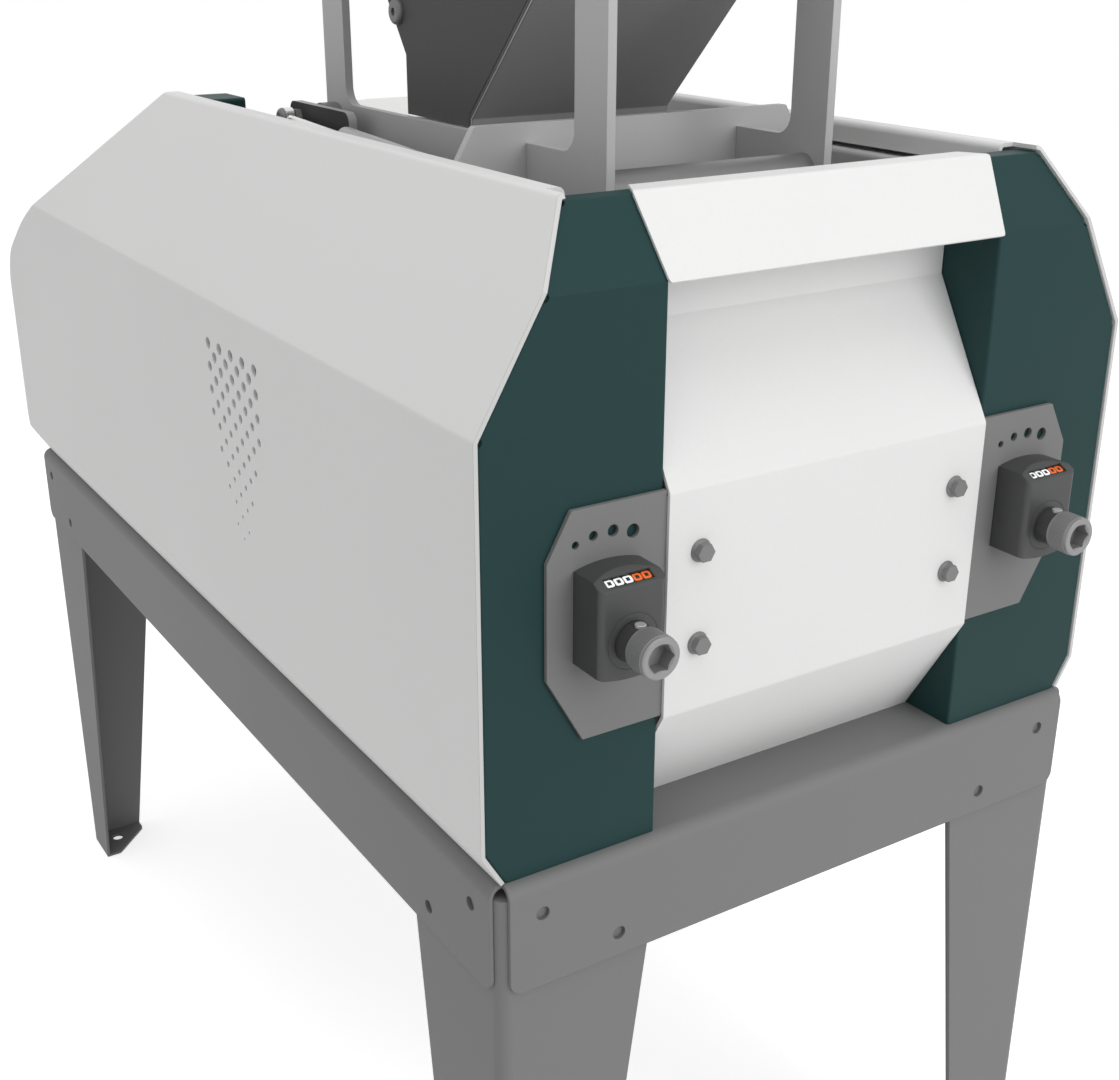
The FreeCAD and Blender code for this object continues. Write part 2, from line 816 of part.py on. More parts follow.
def right_side_plate():
    outer_x = plate_inner_x + plate_sheet
    post_front_back = frame_front + post_front_width
    post_back_front = frame_back - post_back_width
    outline = [
        (frame_front, 0.0),
        (frame_back, 0.0),
        (frame_back, post_top),
        (post_back_front, post_top),
        (post_back_front, bar_top, post_fillet),
        (post_front_back, bar_top, post_fillet),
        (post_front_back, post_top),
        (frame_front, post_top),
    ]
    plate = prism(outline, "x", plate_inner_x, outer_x)
    flange = box(outer_x - 0.5, 150.0, 0.0, 140.0, 550.0, 8.0)
    plate = fused([plate, flange])
    x0 = plate_inner_x - 5
    x1 = outer_x + 5
    cuts = [
        rod_x(rear_roll_d, roll_height, roll_shaft_radius + 1, x0, x1),
        rod_x(front_roll_d - 6, roll_height, roll_shaft_radius + 2, x0, x1),
        rod_x(front_roll_d + 4, roll_height, roll_shaft_radius + 2, x0, x1),
        box(x0, front_roll_d - 6, roll_height - roll_shaft_radius - 2,
            x1, front_roll_d + 4, roll_height + roll_shaft_radius + 2),
        rod_x(tie_d, tie_height, tie_spigot_radius + 0.3, x0, plate_inner_x + tie_spigot + 0.3),
        rod_x(gate_d, gate_height, gate_radius + 0.08, x0, x1),
        box(x0, cross_front - 0.2, cross_lap, x1, cross_front + plate_sheet + 0.2, bar_top + 5),
    ]
    for d, height in post_bolt_places:
        cuts.append(rod_x(d, height, 4.4, x0, x1))
    for x, d in foot_bolt_places:
        cuts.append(rod_h(abs(x), d, foot_bolt_radius + 0.4, -5, 20))
    return plate.cut(cuts[0].multiFuse(cuts[1:]))


def cross_plate():
    outline = [
        (-cross_top_half_width, cross_top, 3),
        (cross_top_half_width, cross_top, 3),
        (cross_half_width, cross_shoulder, 6),
        (cross_half_width, cross_foot),
        (-cross_half_width, cross_foot),
        (-cross_half_width, cross_shoulder, 6),
    ]
    plate = prism(outline, "d", cross_front, cross_front + plate_sheet)
    slot_out = plate_inner_x + plate_sheet + 0.2
    slots = [
        box(start, cross_front - 5, cross_foot - 5, end, cross_front + 15, cross_lap + 0.2)
        for start, end in ((plate_inner_x - 0.2, slot_out), (-slot_out, -plate_inner_x + 0.2))
    ]
    return fused([plate.cut(rows_of(slots))] + spring_bracket())


def tie_bar():
    """Round bar between the side plates, with shouldered ends let into blind holes in them."""
    end_x = plate_inner_x + tie_spigot
    return fused([
        rod_x(tie_d, tie_height, tie_radius, -plate_inner_x, plate_inner_x),
        rod_x(tie_d, tie_height, tie_spigot_radius, -end_x, end_x),
    ])


def roll(d, left_end, right_end):
    body = rod_x(d, roll_height, roll_radius, -roll_half_length, roll_half_length)
    ends = [edge for edge in body.Edges if edge.Length > 100 and len(edge.Vertexes) == 1]
    body = body.makeChamfer(2.0, ends)
    shaft = rod_x(d, roll_height, roll_shaft_radius, left_end, right_end)
    return fused([body, shaft])


def bearing_block(d, sliding):
    """Right-hand pillow block; the sliding one has a long front for the screw's thread and a keyway."""
    foot = rail_top + (0.3 if sliding else 0.0)
    front = d - block_half - (24.0 if sliding else 0.0)
    top = roll_height + block_half
    outline = [
        (front, foot),
        (d + block_half, foot),
        (d + block_half, top, 30),
        (d - block_half, top, 30),
        (d - block_half, screw_height + 30),
        (front, screw_height + 30),
    ]
    if not sliding:
        outline = outline[:4]
    block = prism(outline, "x", block_inner_x, block_outer_x)
    seat_out = block_inner_x + 10 + bearing_width
    cuts = [
        rod_x(d, roll_height, bearing_radius, block_inner_x + 10, seat_out),
        rod_x(d, roll_height, roll_shaft_radius + 6, block_inner_x - 5, block_outer_x + 5),
    ]
    if sliding:
        cuts.append(rod_d(screw_x, screw_height, screw_radius + 0.06, front - 5, d))
        way = key_half + 0.3
        cuts.append(box(key_x - way, front - 5, 0, key_x + way, d + 99, rail_top + key_rise + 0.6))
    return block.cut(cuts[0].multiFuse(cuts[1:]))


def bearing_pair(d):
    """The two ball bearings of a roll, one for each side."""
    start = block_inner_x + 10
    end = start + bearing_width
    ring = ring_x(d, roll_height, bearing_radius - 0.05, roll_shaft_radius + 0.05, start + 0.1, end - 0.1)
    groove = ring_x(d, roll_height, bearing_radius - 6, roll_shaft_radius + 6, start - 1, start + 3)
    ring = ring.cut(groove)
    return rows_of([ring, mirrored(ring)])


def bearing_rail():
    """Right-hand pedestal rail under the bearing blocks, open at both ends, with the slide key."""
    outer = box(154.0, 200.0, 0.0, 214.0, 530.0, rail_top)
    inner = box(160.0, 190.0, 6.0, 208.0, 540.0, rail_top - 8)
    key = box(key_x - key_half, 205.0, rail_top - 0.5, key_x + key_half, 392.0, rail_top + key_rise)
    return fused([outer.cut(inner), key])


def hull_loop(radius_roll, radius_motor, x0, x1):
    """Solid of the loop that runs round both pulleys at the given radii."""
    run_d = motor_d - rear_roll_d
    run_h = motor_height - roll_height
    length = math.hypot(run_d, run_h)
    along = math.atan2(run_h, run_d)
    lean = math.asin((radius_roll - radius_motor) / length)

    def spot(centre_d, centre_h, radius, angle):
        return V(0, centre_d + radius * math.cos(angle), centre_h + radius * math.sin(angle))

    up = along + math.pi / 2 - lean
    down = along - math.pi / 2 + lean
    roll_up = spot(rear_roll_d, roll_height, radius_roll, up)
    roll_down = spot(rear_roll_d, roll_height, radius_roll, down)
    motor_up = spot(motor_d, motor_height, radius_motor, up)
    motor_down = spot(motor_d, motor_height, radius_motor, down)
    edges = [
        Part.makeLine(roll_up, motor_up),
        Part.Arc(motor_up, spot(motor_d, motor_height, radius_motor, along), motor_down).toShape(),
        Part.makeLine(motor_down, roll_down),
        Part.Arc(roll_down, spot(rear_roll_d, roll_height, radius_roll, along + math.pi), roll_up).toShape(),
    ]
    face = Part.Face(Part.Wire(edges))
    face.translate(V(x0, 0, 0))
    return face.extrude(V(x1 - x0, 0, 0))


def drive_belt():
    middle = -pulley_inner_x - pulley_width / 2
    low = groove_depth - 0.4
    x0 = middle - belt_width / 2
    x1 = middle + belt_width / 2
    inner = hull_loop(roll_pulley_radius - low, motor_pulley_radius - low, x0 - 1, x1 + 1)
    outer = hull_loop(roll_pulley_radius - low + belt_height, motor_pulley_radius - low + belt_height, x0, x1)
    return outer.cut(inner)


def pulley(d, height, radius, bore):
    """Left-hand grooved pulley with a bored hub."""
    x0 = -pulley_inner_x - pulley_width
    x1 = -pulley_inner_x
    middle = (x0 + x1) / 2
    half = belt_width / 2 + 0.4
    wheel = rod_x(d, height, radius, x0, x1)
    groove = ring_x(d, height, radius + 5, radius - groove_depth, middle - half, middle + half)
    return wheel.cut(groove).cut(rod_x(d, height, bore + 0.03, x0 - 5, x1 + 5))


def motor():
    """Foot-mounted motor with cooling ribs and a terminal box."""
    body = rod_x(motor_d, motor_height, motor_radius - 8, -130.0, 110.0)
    ribs = []
    for i in range(24):
        rib = box(-105.0, motor_d - 1.5, motor_height, 90.0, motor_d + 1.5, motor_height + motor_radius)
        rib.rotate(V(0, motor_d, motor_height), AXIS["x"], 15.0 * i)
        ribs.append(rib)
    end = rod_x(motor_d, motor_height, motor_radius, -130.0, -105.0)
    feet = box(-90.0, motor_d - 85, 0.0, 75.0, motor_d + 85, 12.0)
    saddle = box(-90.0, motor_d - 55, 11.0, 75.0, motor_d + 55, 70.0)
    terminal = box(-60.0, motor_d - 45, motor_height + 60, 30.0, motor_d + 45, motor_height + 112)
    whole = fused([body, end, feet, saddle, terminal] + ribs)
    return whole.cut(rod_x(motor_d, motor_height, 14.05, -140.0, 120.0))


def motor_shaft():
    return rod_x(motor_d, motor_height, 14.0, -pulley_inner_x - pulley_width - 4, 134.0)


def motor_fan():
    hub = ring_x(motor_d, motor_height, 24.0, 14.03, 118.0, 132.0)
    blades = []
    for i in range(7):
        blade = box(118.0, motor_d - 1.5, motor_height + 22, 132.0, motor_d + 1.5, motor_height + 62)
        blade.rotate(V(0, motor_d, motor_height), AXIS["x"], 360.0 * i / 7)
        blades.append(blade)
    return fused([hub] + blades)


def motor_fan_cover():
    cover = rod_x(motor_d, motor_height, motor_radius, 92.0, 150.0)
    cover = cover.cut(rod_x(motor_d, motor_height, motor_radius - 2, 90.0, 148.0))
    seat = ring_x(motor_d, motor_height, motor_radius - 1, motor_radius - 8, 98.0, 106.0)
    slots = []
    for i in range(-3, 4):
        half = math.sqrt(62.0 ** 2 - (16.0 * i) ** 2)
        mid = motor_height + 16 * i
        slots.append(box(140.0, motor_d - half, mid - 5, 160.0, motor_d + half, mid + 5))
    return fused([cover, seat]).cut(rows_of(slots))


def rear_space(inset, low, front):
    """Space under the rear outline and under the covers' top, moved in by an inset."""
    space = prism(rear_outline(cover_face + inset, low), "x", 0.0, 300.0)
    return space.common(box(0, front, low, 300, body_back, cover_top - inset))


def right_rear_cover():
    front = rear_cover_front
    outer = rear_space(0.0, 0.0, front).cut(rear_space(rear_cover_band, -20.0, front - 10))
    outer = outer.common(cover_section(0.0, 0.0, front - 20, body_back))
    bend = [
        edge for edge in outer.Edges
        if abs(edge.CenterOfMass.y - front) < 0.1 and abs(edge.CenterOfMass.z - cover_top) < 0.1
    ]
    outer = outer.makeFillet(cover_sheet + 1, bend)
    hollow = rear_space(cover_sheet, -20.0, front + cover_sheet)
    hollow = hollow.common(cover_section(cover_sheet, -20.0, front - 20, body_back + 10))
    return outer.cut(hollow)


def rear_panel():
    inset = cover_face + rear_panel_inset
    half = centre_half_width
    front = rear_cover_front + 14
    back = body_back - inset
    top = cover_top - rear_panel_inset
    outer = prism(rear_outline(inset, 0.0), "x", -half, half).common(box(-half, front, 0, half, back, top))
    hollow = prism(rear_outline(inset + cover_sheet, -20.0), "x", -half - 5, half + 5)
    hollow = hollow.common(box(-half - 5, front + cover_sheet, -20, half + 5, back, top - cover_sheet))
    opening = box(-half - 5, front - 5, -20, half + 5, front + 50, top - rear_panel_lip)
    sheet = outer.cut(hollow).cut(opening)
    slots = []
    for row in range(4):
        for column in range(-3, 4):
            x = column * 32.0
            height = 60.0 + row * 22.0
            slots.append(rod_d(x - 8, height, 3.0, back - 10, back + 10))
            slots.append(rod_d(x + 8, height, 3.0, back - 10, back + 10))
            slots.append(box(x - 8, back - 10, height - 3, x + 8, back + 10, height + 3))
    return sheet.cut(slots[0].multiFuse(slots[1:]))


def right_top_rail():
    """Angle under the side panel's lip, from the front cover's lip to the rear cover's."""
    path = [(rail_half_width, 372.0), (rail_half_width, 410.5), (lip_inner_x + 12, 410.5)]
    return prism(strip(path, cover_sheet, cover_sheet), "d", cover_lip_depth, rear_cover_front)


def hopper_shell():
    front_path = [
        (throat_front, throat_foot),
        (throat_front, throat_front_top),
        (hopper_front, throat_front_top + throat_front - hopper_front),
        (hopper_front, hopper_rim),
    ]
    inner_x = hopper_half_width - hopper_sheet
    front_wall = prism(strip(front_path, hopper_sheet, 1.5), "x", -inner_x - 0.5, inner_x + 0.5)
    side = front_path + [
        (hopper_back, hopper_rim),
        (hopper_back, hopper_back_fold),
        (throat_back, throat_back_top),
        (throat_back, throat_foot),
    ]
    right = prism(side, "x", inner_x, hopper_half_width)
    left = prism(side, "x", -hopper_half_width, -inner_x)
    rim_x = 112.0
    rim = box(-rim_x, 152.0, hopper_rim, rim_x, 556.0, hopper_rim + hopper_sheet)
    rim = rim.cut(box(-inner_x, hopper_front + 2, hopper_rim - 5, inner_x, hopper_back, hopper_rim + 9))
    ears = [
        box(x, start, post_ear_foot, x + hopper_sheet, end, hopper_rim)
        for x in (inner_x, -hopper_half_width)
        for start, end in ((frame_front + 4, hopper_front + 1), (hopper_back - 1, frame_back - 4))
    ]
    seam = prism(shifted(front_path, 3.4) + shifted(front_path, 5.6)[::-1], "x", hopper_half_width - 1.1, 100)
    shell = fused([front_wall, right, left, rim] + ears).cut(rows_of([seam, mirrored(seam)]))
    holes = [rod_x(d, height, 4.4, -120, 120) for d, height in post_bolt_places + hopper_bolt_places]
    return shell.cut(rows_of(holes))


def hopper_rear_wall():
    path = [
        (hopper_back, hopper_rim - 0.5),
        (hopper_back, hopper_back_fold),
        (throat_back, throat_back_top),
        (throat_back, throat_foot),
    ]
    half = hopper_half_width - hopper_sheet - 0.3
    sheet = prism(strip(path, hopper_sheet, 1.5), "x", -half, half)
    inner = shifted(path, 26.0)
    flange = path + inner[::-1]
    right = prism(flange, "x", half - hopper_sheet, half)
    left = prism(flange, "x", -half, -half + hopper_sheet)
    wall = fused([sheet, right, left])
    holes = [rod_x(d, height, 4.4, -120, 120) for d, height in hopper_bolt_places]
    return wall.cut(rows_of(holes)).common(box(-100, 300, throat_foot, 100, 600, hopper_rim - 0.5))


def button_bolts(places, outer_x, grip):
    """Button-head bolts with nuts at each place on both sides, heads outside."""
    bolts = []
    for d, height in places:
        head = rod_x(d, height, 10.0, outer_x + 0.1, outer_x + 4.6)
        head = head.makeFillet(3.2, [e for e in head.Edges if abs(e.CenterOfMass.x - outer_x - 4.6) < 0.1])
        head = head.cut(hexagon("x", d, height, 6.0, outer_x + 2.2, outer_x + 9))
        shank = rod_x(d, height, 4.0, outer_x - grip - 8, outer_x + 1)
        nut = hexagon("x", d, height, 13.0, outer_x - grip - 6.6, outer_x - grip - 0.1)
        bolt = fused([head, shank, nut])
        bolts += [bolt, mirrored(bolt)]
    return bolts


def gate_shaft():
    outer_x = plate_inner_x + plate_sheet
    start = lever_outer_x + lever_sheet
    shaft = rod_x(gate_d, gate_height, gate_radius, start, outer_x + 5)
    return fused([shaft, rod_x(gate_d, gate_height, gate_hub_radius, start, -outer_x - 0.3)])


def gate_flap():
    half = 88.0
    top = gate_height + gate_radius + 4
    sheet = box(-half, throat_front - 6, top - 4, half, gate_d + 12, top)
    grip = box(-60.0, gate_d - 20, gate_height - 4, 60.0, gate_d + 20, top - 0.5)
    flap = fused([sheet, grip])
    return flap.cut(rod_x(gate_d, gate_height, gate_radius + 0.02, -100, 100))


def gate_lever():
    outline = [
        (lever_front, lever_top, 9),
        (lever_front, gate_height - 20, 16),
        (gate_d, gate_height - 26, 24),
        (lever_back, gate_height - 14, 14),
        (lever_back, lever_top, 8),
    ]
    plate = prism(outline, "x", lever_outer_x, lever_outer_x + lever_sheet)
    return plate.cut(rod_x(spring_eye_d, spring_eye_height, 4.1, lever_outer_x - 5, lever_outer_x + 20))


def lever_bolt():
    shank = rod_x(spring_eye_d, spring_eye_height, 4.0, spring_x - 6, lever_outer_x + lever_sheet + 7)
    nut = hexagon("x", spring_eye_d, spring_eye_height, 13.0, lever_outer_x - 5.5, lever_outer_x - 0.1)
    inner_x = lever_outer_x + lever_sheet
    back_nut = hexagon("x", spring_eye_d, spring_eye_height, 13.0, inner_x + 0.1, inner_x + 6.5)
    cap_x = spring_x - 8.5
    cap = rod_x(spring_eye_d, spring_eye_height, 8.5, cap_x, spring_x - 4.2)
    cap = cap.makeFillet(4.1, [edge for edge in cap.Edges if abs(edge.CenterOfMass.x - cap_x) < 0.1])
    return fused([shank, nut, back_nut, cap])


def spring_along(share):
    """Point of the gas spring's line, from its foot (0) to its eye (1), in d and h."""
    return (
        spring_foot_d + (spring_eye_d - spring_foot_d) * share,
        spring_foot_height + (spring_eye_height - spring_foot_height) * share,
    )


def spring_bar(radius, start, end):
    first = spring_along(start)
    last = spring_along(end)
    run = V(0, last[0] - first[0], last[1] - first[1])
    return Part.makeCylinder(radius, run.Length, V(spring_x, first[0], first[1]), run)


def spring_body():
    eye = ring_x(spring_foot_d, spring_foot_height, 9.0, 4.15, spring_x - 5, spring_x + 5)
    neck = spring_bar(spring_rod_radius, 0.024, 0.06)
    tube = spring_bar(spring_body_radius, 0.05, 0.63)
    bore = spring_bar(spring_rod_radius + 0.08, 0.2, 0.65)
    whole = fused([eye, neck, tube])
    return whole.cut(bore).cut(rod_x(spring_foot_d, spring_foot_height, 4.15, spring_x - 20, spring_x + 20))


def spring_rod():
    eye = ring_x(spring_eye_d, spring_eye_height, 8.5, 5.9, spring_x - 4, spring_x + 4)
    bar = spring_bar(spring_rod_radius, 0.4, 0.98)
    whole = fused([eye, bar])
    return whole.cut(rod_x(spring_eye_d, spring_eye_height, 5.9, spring_x - 20, spring_x + 20))


def spring_bracket():
    """Clevis with a fixed pin, welded to the cross plate, for the foot of the gas spring."""
    back = cross_front + plate_sheet
    low = spring_foot_height - 8
    high = spring_foot_height + 8
    ears = [
        box(spring_x + side - 2, back - 0.5, low, spring_x + side + 2, spring_foot_d + 8, high)
        for side in (-8.0, 8.0)
    ]
    return ears + [rod_x(spring_foot_d, spring_foot_height, 4.0, spring_x - 12, spring_x + 12)]


def grist_chutes():
    """Sloped plates under the rolls that lead the grist to the outlet."""
    half = plate_inner_x
    front = [(spout_front - 2, 0.5), (spout_front + 1, 0.5), (203.0, 140.0), (200.0, 140.0)]
    back = [(spout_back - 1, 0.5), (spout_back + 2, 0.5), (552.0, 140.0), (549.0, 140.0)]
    return rows_of([prism(front, "x", -half, half), prism(back, "x", -half, half)])


def discharge_spout():
    sheet = 2.0
    under = -stand_sheet
    outer = box(-spout_x, spout_front, -spout_drop, spout_x, spout_back, under)
    wall = spout_x - sheet
    inner = box(-wall, spout_front + sheet, -spout_drop - 5, wall, spout_back - sheet, under + 5)
    flange = box(-outlet_x - 14, outlet_front - 20, under - sheet, outlet_x + 14, outlet_back + 20, under)
    return fused([outer, flange]).cut(inner)


def foot_bolts():
    """Hexagon bolts and nuts that hold the mill frame to the table."""
    bolts = []
    for x, d in foot_bolt_places:
        head = hexagon("h", x, d, 16.0, 8.0, 14.4)
        shank = rod_h(x, d, foot_bolt_radius, -16.0, 9.0)
        nut = hexagon("h", x, d, 16.0, -11.5, -stand_sheet)
        bolts.append(fused([head, shank, nut]))
    return rows_of(bolts)


def write(name, shape):
    """Move a piece to the frame on the floor and write it."""
    placed = shape.copy()
    placed.translate(V(0, -frame_origin_d, table_height))
    placed.exportStep("parts/" + name + ".step")


def write_pair(name, right_shape):
    """Write the right-hand piece and its mirrored left-hand twin as two nodes."""
    write("right_" + name, right_shape)
    write("left_" + name, mirrored(right_shape))


def write_both(name, right_shape):
    """Write the right-hand piece and its mirrored left-hand twin in one node."""
    write(name, rows_of([right_shape, mirrored(right_shape)]))


os.makedirs("parts", exist_ok=True)

write("stand_top", stand_top())
for side, side_name in ((-1, "left"), (1, "right")):
    for end in ("front", "rear"):
        write(end + "_" + side_name + "_leg", leg_at(side, end))
write("discharge_spout", discharge_spout())
write("grist_chutes", grist_chutes())

write_pair("side_panel", right_side_panel())
write_pair("front_cover", right_front_cover())
write_pair("rear_cover", right_rear_cover())
write_both("top_rails", right_top_rail())
write("front_hood", front_hood())
write("front_panel", front_panel())
write("front_panel_bolts", front_panel_bolts())
write("rear_panel", rear_panel())

plate_blank = right_indicator_plate()
write("right_indicator_plate", plate_blank.cut(plate_holes(1)))
write("left_indicator_plate", mirrored(plate_blank).cut(plate_holes(-1)))
write_both("counter_cases", counter_case())
write_both("counter_windows", counter_window())
write("counter_wheels", rows_of(counter_wheels(-screw_x) + counter_wheels(screw_x)))
write("left_units_wheel", units_wheel(-screw_x))
write("right_units_wheel", units_wheel(screw_x))
write_pair("hollow_shaft", hollow_shaft())
write_pair("set_screw", set_screw())
write_pair("adjusting_screw", adjusting_screw())
write_both("screw_supports", screw_support())

write_pair("side_plate", right_side_plate())
write("cross_plate", cross_plate())
write("tie_bar", tie_bar())
write("frame_foot_bolts", foot_bolts())

write("front_roll", roll(front_roll_d, -roll_shaft_end, roll_shaft_end))
write("rear_roll", roll(rear_roll_d, -pulley_inner_x - pulley_width - 4, roll_shaft_end))
write_both("front_bearing_blocks", bearing_block(front_roll_d, True))
write_both("rear_bearing_blocks", bearing_block(rear_roll_d, False))
write("front_roll_bearings", bearing_pair(front_roll_d))
write("rear_roll_bearings", bearing_pair(rear_roll_d))
write_both("bearing_rails", bearing_rail())

write("roll_pulley", pulley(rear_roll_d, roll_height, roll_pulley_radius, roll_shaft_radius))
write("motor_pulley", pulley(motor_d, motor_height, motor_pulley_radius, 14.0))
write("drive_belt", drive_belt())
write("motor", motor())
write("motor_shaft", motor_shaft())
write("motor_fan", motor_fan())
write("motor_fan_cover", motor_fan_cover())

write("hopper_shell", hopper_shell())
write("hopper_rear_wall", hopper_rear_wall())
wall_bolts = button_bolts(hopper_bolt_places, hopper_half_width, 2 * hopper_sheet + 0.3)
post_bolts = button_bolts(post_bolt_places, plate_inner_x + plate_sheet, plate_sheet + hopper_sheet + 0.6)
write("hopper_bolts", rows_of(wall_bolts + post_bolts))

write("gate_shaft", gate_shaft())
write("gate_flap", gate_flap())
write("gate_lever", gate_lever())
write("lever_bolt", lever_bolt())
write("gas_spring_body", spring_body())
write("gas_spring_rod", spring_rod())
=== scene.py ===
import math
import bpy
from mathutils import Euler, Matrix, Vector


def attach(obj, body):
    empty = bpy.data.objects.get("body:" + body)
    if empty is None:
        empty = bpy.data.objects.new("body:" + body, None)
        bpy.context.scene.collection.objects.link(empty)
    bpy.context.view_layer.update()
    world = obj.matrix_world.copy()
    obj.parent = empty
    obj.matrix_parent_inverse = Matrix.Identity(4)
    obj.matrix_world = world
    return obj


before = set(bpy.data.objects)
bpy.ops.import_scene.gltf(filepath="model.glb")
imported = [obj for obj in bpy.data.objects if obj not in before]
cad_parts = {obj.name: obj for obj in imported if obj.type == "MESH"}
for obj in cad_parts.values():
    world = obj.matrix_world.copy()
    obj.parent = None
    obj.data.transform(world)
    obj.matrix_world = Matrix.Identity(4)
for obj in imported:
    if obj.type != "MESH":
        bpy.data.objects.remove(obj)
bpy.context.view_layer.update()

# Places in metres: x to the right, y to the back, z up from the floor
FRONT_Y = -0.5075
TABLE_Z = 0.5365
SIDES = {"left": -1, "right": 1}

# Side panels, whose cut front edge leans back above its kink; a thin band on that edge gets painted
# shade
PANEL_KINK_Z = TABLE_Z + 0.3817
PANEL_LEAN = math.radians(30.0)
PANEL_SHADE_DEPTH = 0.0003

# Hopper, with the depth and height of its front corner's bends, and the lever of the feed gate;
# both have another tone between their outer faces: on the hopper it is painted light on the front, on
# the lever the lighter edge tone
HOPPER_X = 0.09075
# Half width between the hopper's side faces, inside which its front gets painted light
HOPPER_LIT_HALF_WIDTH = HOPPER_X - 0.0003
HOPPER_FRONT = [(0.322, 0.431), (0.322, 0.437), (0.175, 0.584), (0.175, 0.648)]
# Round painted highlight strip down the hopper's front corner bends, and its inset from the corner
HIGHLIGHT_RADIUS = 0.0008
HIGHLIGHT_INSET_X = 0.0002
HIGHLIGHT_INSET_Y = 0.0012
LEVER_X = -0.117
LEVER_SHEET = 0.008
LEVER_BETWEEN_FACES = LEVER_SHEET / 2 - 0.0002

# Rolls
ROLL_Z = TABLE_Z + 0.168
FRONT_ROLL_Y = FRONT_Y + 0.294
REAR_ROLL_Y = FRONT_Y + 0.456

# Adjusting screws and the knurl round their heads
SCREW_X = 0.184
SCREW_Z = ROLL_Z
HEAD_RADIUS = 0.014
HEAD_FRONT_Y = FRONT_Y - 0.062
HEAD_BACK_Y = FRONT_Y - 0.044
KNURL_RADIUS = HEAD_RADIUS - 0.00004
KNURL_FRONT_Y = HEAD_FRONT_Y + 0.0028
KNURL_BACK_Y = HEAD_BACK_Y - 0.0016
KNURL_RIDGES = 72
RIDGE_FLANK = 0.0004
RIDGE_HEIGHT = 0.0005

# Counter wheels and the numerals round them; a numeral is cut from a grid of 3 columns and 5 rows,
# whose inner lines are moved and whose steps are shares of the numeral's size
WHEEL_Y = FRONT_Y - 0.0206
WHEEL_Z = TABLE_Z + 0.1976
WHEEL_RADIUS = 0.010
WHEEL_PITCH = 0.0068
WINDOW_LEAN = math.radians(27.0)
NUMERAL_WIDTH = 0.0061
NUMERAL_HEIGHT = 0.0056
NUMERAL_CORNER = 0.0014
NUMERAL_RISE = 0.00005
NUMERAL_CLEARANCE = 0.00006
NUMERAL_SHIFT_X = 0.0003
COLUMN_SPREAD = 1.3
COLUMN_STEP = 0.358
ROW_SPREAD = 0.8
ROW_STEP = 0.185

# The bars of each numeral from 0 to 9, and each bar's first and last column and row
NUMERAL_BARS = ("abcdef", "bc", "abdeg", "abcdg", "bcfg", "acdfg", "acdefg", "abc", "abcdefg", "abcdfg")
BAR_CELLS = {
    "a": (0, 2, 4, 4),
    "b": (2, 2, 2, 4),
    "c": (2, 2, 0, 2),
    "d": (0, 2, 0, 0),
    "e": (0, 0, 0, 2),
    "f": (0, 0, 2, 4),
    "g": (0, 2, 2, 2),
}

# Camera of the photograph
CAMERA_PLACE = (-0.67537, -1.22892, 1.10971)
CAMERA_TURN_DEGREES = (68.1515, -0.1096, -32.3950)
CAMERA_LENS_MM = 49.3128

# Radius of a softened sheet edge and depth of a surface grain
SHEET_ROUND = 0.0006
GRAIN_DEPTH = 0.0002


def grey(level):
    return (level, level, level)


WHITE = (0.80, 0.80, 0.795)
# Greyer white for the side panels' front edge: painted shade
EDGE_SHADE_GREY = (0.62, 0.62, 0.615)
TEAL = (0.0175, 0.049, 0.049)
STAND_GREY = grey(0.185)
FRAME_GREY = grey(0.50)
HOPPER_GREY = (0.092, 0.092, 0.094)
# Lighter grey of the hopper's front: painted light for the light that the front wall catches
HOPPER_FRONT_LIT_GREY = (0.27, 0.27, 0.272)
LEVER_GREY = (0.058, 0.058, 0.059)
LEVER_EDGE_GREY = grey(0.42)
PLATE_GREY = grey(0.205)
CASE_GREY = (0.050, 0.051, 0.051)
SPRING_GREY = grey(0.42)
MOTOR_BLUE_GREY = (0.16, 0.19, 0.21)
PRINT_WHITE = (0.90, 0.90, 0.89)
PRINT_ORANGE = (0.90, 0.15, 0.014)


class Value:
    """A shader value; arithmetic on it adds the maths nodes."""

    def __init__(self, finish, socket):
        self.finish = finish
        self.socket = socket

    def __add__(self, other):
        return self.finish.maths("ADD", self, other)

    def __radd__(self, other):
        return self.finish.maths("ADD", other, self)

    def __sub__(self, other):
        return self.finish.maths("SUBTRACT", self, other)

    def __rsub__(self, other):
        return self.finish.maths("SUBTRACT", other, self)

    def __mul__(self, other):
        return self.finish.maths("MULTIPLY", self, other)

    def __rmul__(self, other):
        return self.finish.maths("MULTIPLY", other, self)


